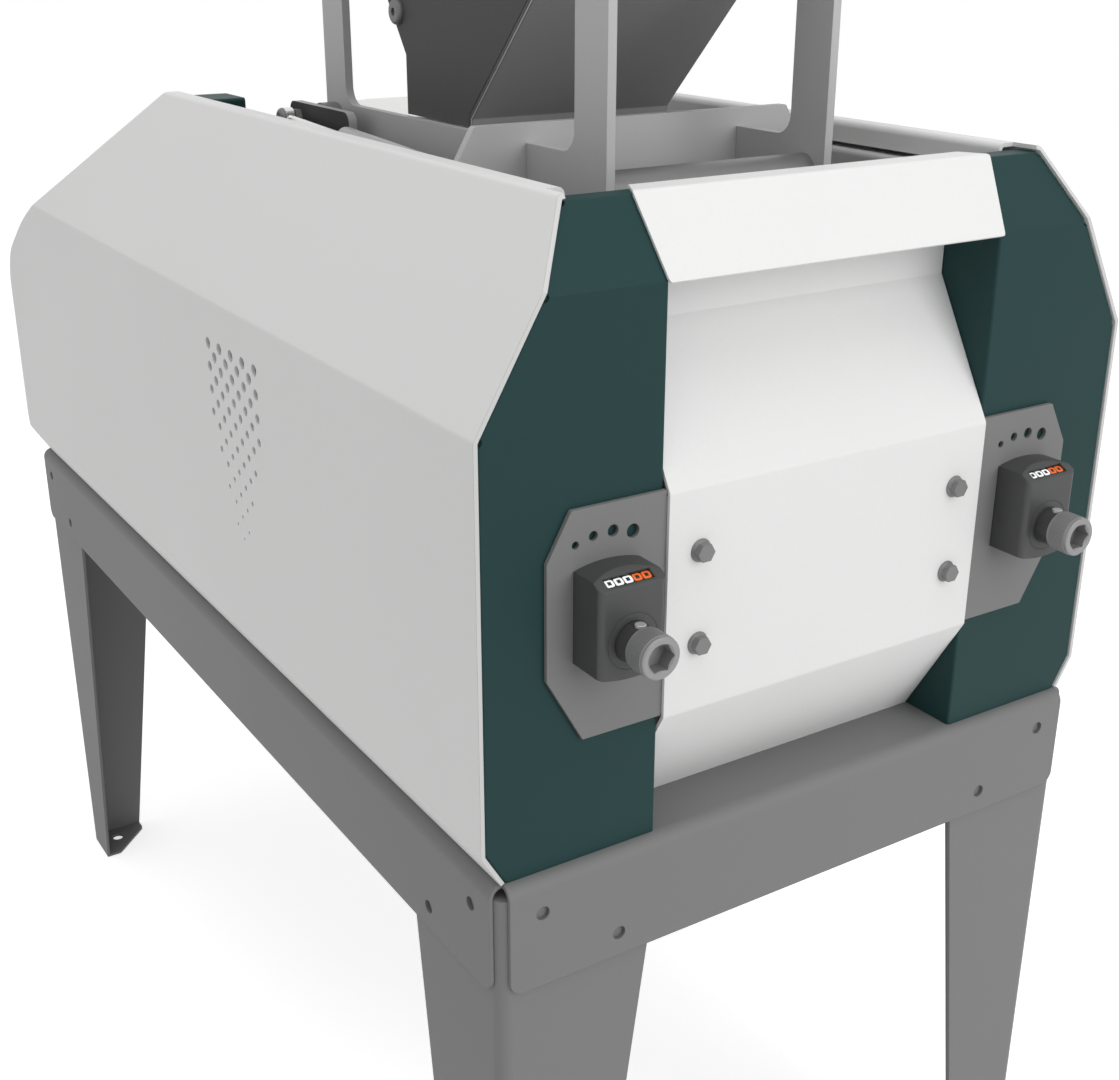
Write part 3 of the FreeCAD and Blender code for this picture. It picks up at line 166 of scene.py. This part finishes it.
class Finish:
    """The nodes of a material or a world, and the few patterns that the mill's surfaces share."""

    def __init__(self, owner):
        self.owner = owner
        owner.use_nodes = True
        self.tree = owner.node_tree
        self.tree.nodes.clear()

    def node(self, kind, settings, sockets, output=0):
        made = self.tree.nodes.new(kind)
        for key, setting in settings.items():
            setattr(made, key, setting)
        for key, value in sockets.items():
            if isinstance(value, Value):
                self.tree.links.new(value.socket, made.inputs[key])
            else:
                made.inputs[key].default_value = value
        return Value(self, made.outputs[output]) if made.outputs else made

    def maths(self, operation, *terms):
        return self.node("ShaderNodeMath", {"operation": operation}, dict(enumerate(terms)))

    def place(self):
        return self.node("ShaderNodeTexCoord", {}, {}, "Object")

    def stretched(self, scale):
        return self.node("ShaderNodeMapping", {}, {"Vector": self.place(), "Scale": scale})

    def noise(self, vector, scale, detail):
        sockets = {"Vector": vector, "Scale": scale, "Detail": detail, "Roughness": 0.55}
        return self.node("ShaderNodeTexNoise", {}, sockets, "Fac")

    def axis(self, name):
        return self.node("ShaderNodeSeparateXYZ", {}, {"Vector": self.place()}, name)

    def tint(self, amount, first, second):
        sockets = {0: amount, 6: (*first, 1.0), 7: (*second, 1.0)}
        return self.node("ShaderNodeMix", {"data_type": "RGBA"}, sockets, 2)

    def soft_edges(self, radius):
        return self.node("ShaderNodeBevel", {"samples": 4}, {"Radius": radius})

    def bump(self, height, strength, edge, distance=GRAIN_DEPTH):
        sockets = {"Height": height, "Strength": strength, "Distance": distance}
        if edge > 0.0:
            sockets["Normal"] = self.soft_edges(edge)
        return self.node("ShaderNodeBump", {}, sockets)

    def surface(self, sockets):
        shader = self.node("ShaderNodeBsdfPrincipled", {}, sockets)
        return self.closed(shader)

    def closed(self, shader):
        self.node("ShaderNodeOutputMaterial", {}, {"Surface": shader})
        return self.owner


def new_finish(name):
    return Finish(bpy.data.materials.new(name))


def shade(colour, factor):
    return tuple(min(1.0, channel * factor) for channel in colour)


def powder_coat(name, colour, roughness, gloss, peel=0.05):
    """Baked paint: slow tone drift, fine orange peel and softened sheet edges."""
    finish = new_finish(name)
    place = finish.place()
    drift = finish.noise(place, 5.0, 3.0)
    speck = finish.noise(place, 420.0, 2.0)
    grain = finish.noise(place, 1500.0, 2.0)
    tone = drift * 0.6 + speck * 0.4
    return finish.surface({
        "Base Color": finish.tint(tone, shade(colour, 0.955), shade(colour, 1.045)),
        "Roughness": roughness - 0.06 + drift * 0.08 + speck * 0.04,
        "Specular IOR Level": gloss,
        "Normal": finish.bump(grain, peel, SHEET_ROUND),
    })


def two_tone_and_lit_front_coat(name, middle_x, half_width, inner, outer):
    """Dull coat with one tone between two planes square to x and another outside them; on the hopper the
    tone between them is painted light, on the lever it is the lighter edge tone.
    """
    finish = new_finish(name)
    offset = finish.axis("X") - middle_x
    outside = finish.maths("GREATER_THAN", offset * offset, half_width ** 2)
    marks = finish.noise(finish.place(), 300.0, 3.0)
    return finish.surface({
        "Base Color": finish.tint(outside, inner, outer),
        "Roughness": 0.45 + marks * 0.1,
        "Specular IOR Level": 0.1,
        "Normal": finish.bump(marks, 0.05, SHEET_ROUND),
    })


def panel_coat(name, colour, edge_shade_colour):
    """Baked paint with painted shade, a greyer tone, on the cut front edge, which leans back above the
    panel's kink.
    """
    finish = new_finish(name)
    depth = finish.axis("Y") - FRONT_Y
    rise = finish.axis("Z") - PANEL_KINK_Z
    leaning = depth * math.cos(PANEL_LEAN) - rise * math.sin(PANEL_LEAN)
    unshaded = finish.maths("GREATER_THAN", finish.maths("MINIMUM", depth, leaning), PANEL_SHADE_DEPTH)
    drift = finish.noise(finish.place(), 5.0, 3.0)
    grain = finish.noise(finish.place(), 1500.0, 2.0)
    return finish.surface({
        "Base Color": finish.tint(unshaded, edge_shade_colour, colour),
        "Roughness": 0.49 + drift * 0.12,
        "Normal": finish.bump(grain, 0.05, SHEET_ROUND),
    })


def drawn_steel(name, colour, roughness, stretch, metallic=1.0):
    """Bare or plated steel with fine marks along its length."""
    finish = new_finish(name)
    marks = finish.noise(finish.stretched(stretch), 1.0, 4.0)
    stain = finish.noise(finish.place(), 60.0, 3.0)
    return finish.surface({
        "Base Color": finish.tint(stain * 0.7 + marks * 0.3, shade(colour, 0.86), shade(colour, 1.08)),
        "Metallic": metallic,
        "Roughness": roughness - 0.08 + marks * 0.10 + stain * 0.08,
        "Normal": finish.bump(marks, 0.06, edge=0.0004),
    })


def casting(name, colour, roughness):
    """Sand-cast surface under thin paint."""
    finish = new_finish(name)
    place = finish.place()
    sand = finish.noise(place, 600.0, 5.0)
    patch = finish.noise(place, 25.0, 3.0)
    return finish.surface({
        "Base Color": finish.tint(sand * 0.5 + patch * 0.5, shade(colour, 0.8), shade(colour, 1.2)),
        "Roughness": roughness - 0.1 + patch * 0.15 + sand * 0.05,
        "Normal": finish.bump(sand, 0.35, edge=0.0012, distance=0.0004),
    })


def moulded(name, colour, roughness, spark=1800.0, edge=0.0011, glow=0.0):
    """Moulded plastic with a spark-eroded grain; a bright print also gets a glow, which is painted
    light.
    """
    finish = new_finish(name)
    place = finish.place()
    grain = finish.noise(place, spark, 3.0)
    rub = finish.noise(place, 45.0, 3.0)
    tone = finish.tint(rub * 0.7 + grain * 0.3, shade(colour, 0.9), shade(colour, 1.12))
    sockets = {
        "Base Color": tone,
        "Roughness": roughness - 0.06 + grain * 0.08 + rub * 0.05,
        "Normal": finish.bump(grain, 0.12, edge),
    }
    # Glow of a bright print: painted light
    if glow > 0.0:
        sockets["Emission Color"] = tone
        sockets["Emission Strength"] = glow
    return finish.surface(sockets)


def fluted_roll(name, axis_y):
    """Ground roll with fine helical flutes round its own axis."""
    finish = new_finish(name)
    across = finish.axis("Y") - axis_y
    above = finish.axis("Z") - ROLL_Z
    turn = finish.maths("ARCTAN2", above, across) * 110.0 + finish.axis("X") * 160.0
    flute = finish.maths("SINE", turn)
    stain = finish.noise(finish.place(), 40.0, 3.0)
    return finish.surface({
        "Base Color": finish.tint(stain, (0.36, 0.36, 0.35), (0.52, 0.52, 0.51)),
        "Metallic": 1.0,
        "Roughness": 0.28 + stain * 0.14,
        "Normal": finish.bump(flute, 0.5, edge=0.0, distance=0.0006),
    })


def clear_pane(name):
    """Thin clear plastic with a faint wipe haze."""
    finish = new_finish(name)
    haze = finish.noise(finish.place(), 260.0, 3.0)
    clear = finish.node("ShaderNodeBsdfTransparent", {}, {"Color": (0.96, 0.97, 0.97, 1.0)})
    gloss = finish.node("ShaderNodeBsdfPrincipled", {}, {
        "Base Color": finish.tint(haze, grey(0.02), grey(0.05)),
        "Roughness": 0.05 + haze * 0.08,
    })
    facing = finish.node("ShaderNodeFresnel", {}, {"IOR": 1.45})
    sheen = facing * 0.12 + haze * 0.01
    mixed = finish.node("ShaderNodeMixShader", {}, {0: sheen, 1: clear, 2: gloss})
    return finish.closed(mixed)


# Finishes of the CAD nodes
FINISHES = [
    (powder_coat("white_coat", WHITE, roughness=0.55, gloss=0.5), [
        "front_hood", "front_panel", "rear_panel",
    ]),
    # The side panels' front edge carries painted shade
    (panel_coat("panel_coat", WHITE, EDGE_SHADE_GREY), [
        "left_side_panel", "right_side_panel",
    ]),
    (powder_coat("teal_coat", TEAL, roughness=0.5, gloss=0.12), [
        "left_front_cover", "right_front_cover", "left_rear_cover", "right_rear_cover",
    ]),
    (powder_coat("stand_coat", STAND_GREY, roughness=0.6, gloss=0.5, peel=0.08), [
        "stand_top", "discharge_spout",
        "front_left_leg", "front_right_leg", "rear_left_leg", "rear_right_leg",
    ]),
    (powder_coat("frame_coat", FRAME_GREY, roughness=0.55, gloss=0.5), [
        "left_side_plate", "right_side_plate", "cross_plate", "top_rails", "grist_chutes",
        "screw_supports", "bearing_rails",
    ]),
    # The hopper's front is painted lighter between its side faces: painted light
    (two_tone_and_lit_front_coat("hopper_lit_front_coat", 0.0, HOPPER_LIT_HALF_WIDTH, HOPPER_FRONT_LIT_GREY, HOPPER_GREY), [
        "hopper_shell",
    ]),
    (powder_coat("hopper_rear_coat", HOPPER_GREY, roughness=0.5, gloss=0.1), [
        "hopper_rear_wall",
    ]),
    (two_tone_and_lit_front_coat("lever_coat", LEVER_X, LEVER_BETWEEN_FACES, LEVER_EDGE_GREY, LEVER_GREY), [
        "gate_lever",
    ]),
    (powder_coat("indicator_coat", PLATE_GREY, roughness=0.6, gloss=0.25, peel=0.1), [
        "left_indicator_plate", "right_indicator_plate",
    ]),
    (moulded("case_plastic", CASE_GREY, roughness=0.5, edge=0.002), [
        "counter_cases",
    ]),
    (moulded("shaft_plastic", grey(0.04), roughness=0.5), [
        "left_hollow_shaft", "right_hollow_shaft",
    ]),
    (moulded("wheel_plastic", grey(0.012), roughness=0.55), [
        "counter_wheels", "left_units_wheel", "right_units_wheel",
    ]),
    (moulded("cowl_plastic", grey(0.03), roughness=0.55), [
        "motor_fan", "motor_fan_cover",
    ]),
    (clear_pane("clear_pane"), [
        "counter_windows",
    ]),
    (drawn_steel("screw_steel", grey(0.29), 0.5, (300.0, 30.0, 300.0), metallic=0.35), [
        "left_adjusting_screw", "right_adjusting_screw",
    ]),
    (drawn_steel("bolt_steel", grey(0.2), 0.5, (300.0, 60.0, 300.0), metallic=0.3), [
        "front_panel_bolts", "hopper_bolts", "frame_foot_bolts", "lever_bolt",
    ]),
    (drawn_steel("bright_steel", (0.75, 0.75, 0.74), 0.3, (60.0, 300.0, 300.0)), [
        "gas_spring_rod", "motor_shaft", "gate_flap", "front_roll_bearings", "rear_roll_bearings",
    ]),
    (drawn_steel("pin_steel", grey(0.5), 0.45, (100.0, 100.0, 100.0), metallic=0.3), [
        "left_set_screw", "right_set_screw",
    ]),
    (drawn_steel("tie_steel", grey(0.21), 0.4, (40.0, 300.0, 300.0), metallic=0.3), [
        "tie_bar", "gate_shaft",
    ]),
    (fluted_roll("front_roll_steel", FRONT_ROLL_Y), [
        "front_roll",
    ]),
    (fluted_roll("rear_roll_steel", REAR_ROLL_Y), [
        "rear_roll",
    ]),
    (casting("block_iron", (0.12, 0.12, 0.125), roughness=0.6), [
        "front_bearing_blocks", "rear_bearing_blocks", "roll_pulley", "motor_pulley",
    ]),
    (casting("motor_casting", MOTOR_BLUE_GREY, roughness=0.5), [
        "motor",
    ]),
    (powder_coat("spring_coat", SPRING_GREY, roughness=0.35, gloss=0.5), [
        "gas_spring_body",
    ]),
    (moulded("belt_rubber", grey(0.015), roughness=0.8, spark=900.0), [
        "drive_belt",
    ]),
]
for material, nodes in FINISHES:
    for name in nodes:
        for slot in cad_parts[name].material_slots:
            slot.material = material

# Finishes of the pieces below
# Light grey finish of the painted highlight down the hopper's front corners
HIGHLIGHT_STEEL = drawn_steel("highlight_steel", grey(0.45), 0.45, (60.0, 60.0, 60.0), metallic=0.3)
KNURL_STEEL = drawn_steel("knurl_steel", grey(0.28), 0.5, (300.0, 30.0, 300.0), metallic=0.35)
# The numerals glow: painted light that lifts them out of the shade of their recess
NUMERAL_WHITE = moulded("numeral_white", PRINT_WHITE, roughness=0.5, edge=0.0002, glow=0.6)
NUMERAL_ORANGE = moulded("numeral_orange", PRINT_ORANGE, roughness=0.5, edge=0.0002, glow=0.45)


def clear_selection():
    bpy.ops.object.select_all(action="DESELECT")


def start_piece(name):
    """Name the piece that was just added."""
    piece = bpy.context.object
    piece.name = name
    return piece


def settle(piece, body, material):
    """Put a piece's place in its mesh, give it its finish and let it ride on its body."""
    clear_selection()
    piece.select_set(True)
    bpy.context.view_layer.objects.active = piece
    bpy.ops.object.transform_apply(location=True, rotation=True, scale=True)
    piece.data.materials.clear()
    piece.data.materials.append(material)
    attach(piece, body)


def hopper_highlight(name, sign):
    """Painted highlight down the front corner of the hopper: a thin bright strip where the bent corner
    catches light, drawn as a line and given its round section.
    """
    clear_selection()
    x = sign * (HOPPER_X - HIGHLIGHT_INSET_X)
    y = FRONT_Y + HIGHLIGHT_INSET_Y
    spots = [Vector((x, y + depth, TABLE_Z + height)) for depth, height in HOPPER_FRONT]
    bpy.ops.mesh.primitive_plane_add(size=HIGHLIGHT_RADIUS, location=spots[0])
    highlight = start_piece(name)
    bpy.context.tool_settings.mesh_select_mode = (True, False, False)
    bpy.ops.object.mode_set(mode="EDIT")
    bpy.ops.mesh.select_all(action="SELECT")
    bpy.ops.mesh.merge(type="CENTER")
    for last, spot in zip(spots, spots[1:]):
        bpy.ops.mesh.extrude_vertices_move(TRANSFORM_OT_translate={"value": spot - last})
    bpy.ops.object.mode_set(mode="OBJECT")
    bpy.ops.object.convert(target="CURVE")
    highlight.data.bevel_depth = HIGHLIGHT_RADIUS
    highlight.data.bevel_resolution = 2
    highlight.data.use_fill_caps = True
    bpy.ops.object.convert(target="MESH")
    settle(bpy.context.object, "mill_body", HIGHLIGHT_STEEL)


def knurled_ring(name, x, body):
    """Straight knurl round a screw head, between plain lands at both ends."""
    clear_selection()
    bpy.ops.mesh.primitive_cylinder_add(
        vertices=KNURL_RIDGES,
        radius=KNURL_RADIUS,
        depth=KNURL_BACK_Y - KNURL_FRONT_Y,
        end_fill_type="NOTHING",
        location=(x, (KNURL_BACK_Y + KNURL_FRONT_Y) / 2, SCREW_Z),
        rotation=(math.pi / 2, 0, 0),
    )
    ring = start_piece(name)
    bpy.ops.object.mode_set(mode="EDIT")
    bpy.ops.mesh.select_all(action="SELECT")
    bpy.ops.mesh.inset(thickness=RIDGE_FLANK, depth=RIDGE_HEIGHT, use_individual=True)
    bpy.ops.mesh.select_all(action="SELECT")
    bpy.ops.mesh.normals_make_consistent(inside=False)
    bpy.ops.object.mode_set(mode="OBJECT")
    settle(ring, body, KNURL_STEEL)


def select_vertices(piece, chosen):
    """Select the vertices whose place passes a test, and go on in edit mode."""
    for vertex in piece.data.vertices:
        vertex.select = chosen(vertex.co)
    bpy.context.tool_settings.mesh_select_mode = (True, False, False)
    bpy.ops.object.mode_set(mode="EDIT")


def resize_vertices(piece, chosen, scale):
    """Scale the vertices whose place passes a test about their middle."""
    select_vertices(piece, chosen)
    bpy.ops.transform.resize(value=scale)
    bpy.ops.mesh.select_all(action="DESELECT")
    bpy.ops.object.mode_set(mode="OBJECT")


def numeral_mesh(digit):
    """Bold square numeral of a counter wheel with round corners, lying in the plane of x and y."""
    clear_selection()
    bpy.ops.mesh.primitive_grid_add(x_subdivisions=3, y_subdivisions=5, size=1.0)
    shape = bpy.context.object
    resize_vertices(shape, lambda spot: True, (NUMERAL_WIDTH, NUMERAL_HEIGHT, 1.0))
    resize_vertices(shape, lambda spot: abs(spot.x) < 0.4 * NUMERAL_WIDTH, (COLUMN_SPREAD, 1.0, 1.0))
    resize_vertices(shape, lambda spot: 0.2 < abs(spot.y) / NUMERAL_HEIGHT < 0.4, (1.0, ROW_SPREAD, 1.0))
    bars = [BAR_CELLS[bar] for bar in NUMERAL_BARS[digit]]
    for cell in shape.data.polygons:
        column = 1 + round(cell.center.x / NUMERAL_WIDTH / COLUMN_STEP)
        row = 2 + round(cell.center.y / NUMERAL_HEIGHT / ROW_STEP)
        inside = [left <= column <= right and low <= row <= high for left, right, low, high in bars]
        cell.select = not any(inside)
    bpy.context.tool_settings.mesh_select_mode = (False, False, True)
    bpy.ops.object.mode_set(mode="EDIT")
    bpy.ops.mesh.delete(type="FACE")
    bpy.ops.object.mode_set(mode="OBJECT")
    corner_x = 0.49 * NUMERAL_WIDTH
    corner_y = 0.49 * NUMERAL_HEIGHT
    select_vertices(shape, lambda spot: abs(spot.x) > corner_x and abs(spot.y) > corner_y)
    bpy.ops.mesh.bevel(offset=NUMERAL_CORNER, segments=4, affect="VERTICES")
    bpy.ops.mesh.select_all(action="SELECT")
    bpy.ops.mesh.extrude_region_move(TRANSFORM_OT_translate={"value": (0.0, 0.0, NUMERAL_RISE)})
    bpy.ops.mesh.select_all(action="SELECT")
    bpy.ops.mesh.normals_make_consistent(inside=False)
    bpy.ops.object.mode_set(mode="OBJECT")
    return shape


def wheel_numerals(name, x_places, body, material):
    """Ten numerals wrapped round each of the wheels at these places, with 0 facing the window."""
    copies = []
    out = Vector((0.0, -math.sin(WINDOW_LEAN), math.cos(WINDOW_LEAN)))
    up = Vector((0.0, math.cos(WINDOW_LEAN), math.sin(WINDOW_LEAN)))
    for digit in range(10):
        pattern = numeral_mesh(digit)
        for x in x_places:
            copy = pattern.copy()
            copy.data = pattern.data.copy()
            bpy.context.collection.objects.link(copy)
            for vertex in copy.data.vertices:
                turn = vertex.co.y / WHEEL_RADIUS + digit * math.tau / 10
                reach = WHEEL_RADIUS + NUMERAL_CLEARANCE + vertex.co.z
                spot = (out * math.cos(turn) + up * math.sin(turn)) * reach
                vertex.co = (x + NUMERAL_SHIFT_X + vertex.co.x, WHEEL_Y + spot.y, WHEEL_Z + spot.z)
            copies.append(copy)
        bpy.data.objects.remove(pattern)
    clear_selection()
    for copy in copies:
        copy.select_set(True)
    bpy.context.view_layer.objects.active = copies[0]
    bpy.ops.object.join()
    settle(start_piece(name), body, material)


# Pieces on both sides; each counter has three white wheels, then two orange ones
for side, sign in SIDES.items():
    centre = sign * SCREW_X
    whites = [centre + step * WHEEL_PITCH for step in (-2, -1, 0)]
    tens = [centre + WHEEL_PITCH]
    units = [centre + 2 * WHEEL_PITCH]
    # Painted highlight down the hopper's front corner on this side
    hopper_highlight(side + "_hopper_highlight", sign)
    knurled_ring(side + "_head_knurl", centre, side + "_screw")
    wheel_numerals(side + "_white_numerals", whites, "mill_body", NUMERAL_WHITE)
    wheel_numerals(side + "_orange_numerals", tens, "mill_body", NUMERAL_ORANGE)
    wheel_numerals(side + "_units_numerals", units, side + "_counter", NUMERAL_ORANGE)


def background_rays(finish):
    """1 for rays that see the backdrop itself, 0 for those that light the mill."""
    names = ("Is Camera Ray", "Is Glossy Ray", "Is Transmission Ray")
    camera, glossy, clear = (finish.node("ShaderNodeLightPath", {}, {}, name) for name in names)
    return finish.maths("MINIMUM", camera + glossy + clear, 1.0)


def studio_floor():
    """Wide pale floor that keeps the mill's shadow."""
    clear_selection()
    bpy.ops.mesh.primitive_plane_add(size=14.0, location=(0.0, 0.0, 0.0))
    floor = start_piece("studio_floor")
    finish = new_finish("floor_paint")
    drift = finish.noise(finish.place(), 0.8, 2.0)
    paint = finish.node("ShaderNodeBsdfPrincipled", {}, {
        "Base Color": finish.tint(drift, grey(0.80), grey(0.82)),
        "Roughness": 0.9,
        "Specular IOR Level": 0.0,
    })
    glow = finish.node("ShaderNodeEmission", {}, {"Color": (1.0, 1.0, 1.0, 1.0), "Strength": 0.62})
    lifted = finish.node("ShaderNodeAddShader", {}, {0: paint, 1: glow})
    mixed = finish.node("ShaderNodeMixShader", {}, {0: background_rays(finish), 1: paint, 2: lifted})
    floor.data.materials.append(finish.closed(mixed))


def studio_world():
    """White surround for the eye, softer even light for the mill."""
    world = bpy.data.worlds.new("studio_world")
    bpy.context.scene.world = world
    finish = Finish(world)
    seen = finish.node("ShaderNodeBackground", {}, {"Color": (1.0, 1.0, 1.0, 1.0), "Strength": 1.0})
    light = finish.node("ShaderNodeBackground", {}, {"Color": (1.0, 1.0, 1.0, 1.0), "Strength": 0.55})
    mixed = finish.node("ShaderNodeMixShader", {}, {0: background_rays(finish), 1: light, 2: seen})
    finish.node("ShaderNodeOutputWorld", {}, {"Surface": mixed})


def soft_lamp(name, place, aim, size, power):
    """Square lamp that points at a spot on the mill."""
    lamp = bpy.data.lights.new(name, "AREA")
    lamp.size = size
    lamp.energy = power
    holder = bpy.data.objects.new(name, lamp)
    holder.location = place
    holder.rotation_euler = (Vector(aim) - Vector(place)).to_track_quat("-Z", "Y").to_euler()
    bpy.context.collection.objects.link(holder)


def photo_camera():
    """Camera at the place from which the photograph was taken."""
    camera = bpy.data.cameras.new("photo_camera")
    camera.sensor_fit = "HORIZONTAL"
    camera.sensor_width = 36.0
    camera.lens = CAMERA_LENS_MM
    camera.clip_end = 60.0
    viewer = bpy.data.objects.new("photo_camera", camera)
    viewer.location = CAMERA_PLACE
    viewer.rotation_euler = Euler([math.radians(angle) for angle in CAMERA_TURN_DEGREES], "XYZ")
    bpy.context.collection.objects.link(viewer)
    bpy.context.scene.camera = viewer


# Studio
studio_floor()
studio_world()
soft_lamp("top_lamp", place=(-0.4, -0.6, 3.4), aim=(0.0, 0.0, 0.6), size=2.6, power=27.0)
soft_lamp("front_lamp", place=(0.9, -3.2, 1.9), aim=(0.0, -0.4, 0.7), size=2.2, power=38.0)
photo_camera()
bpy.context.scene.view_settings.view_transform = "Standard"
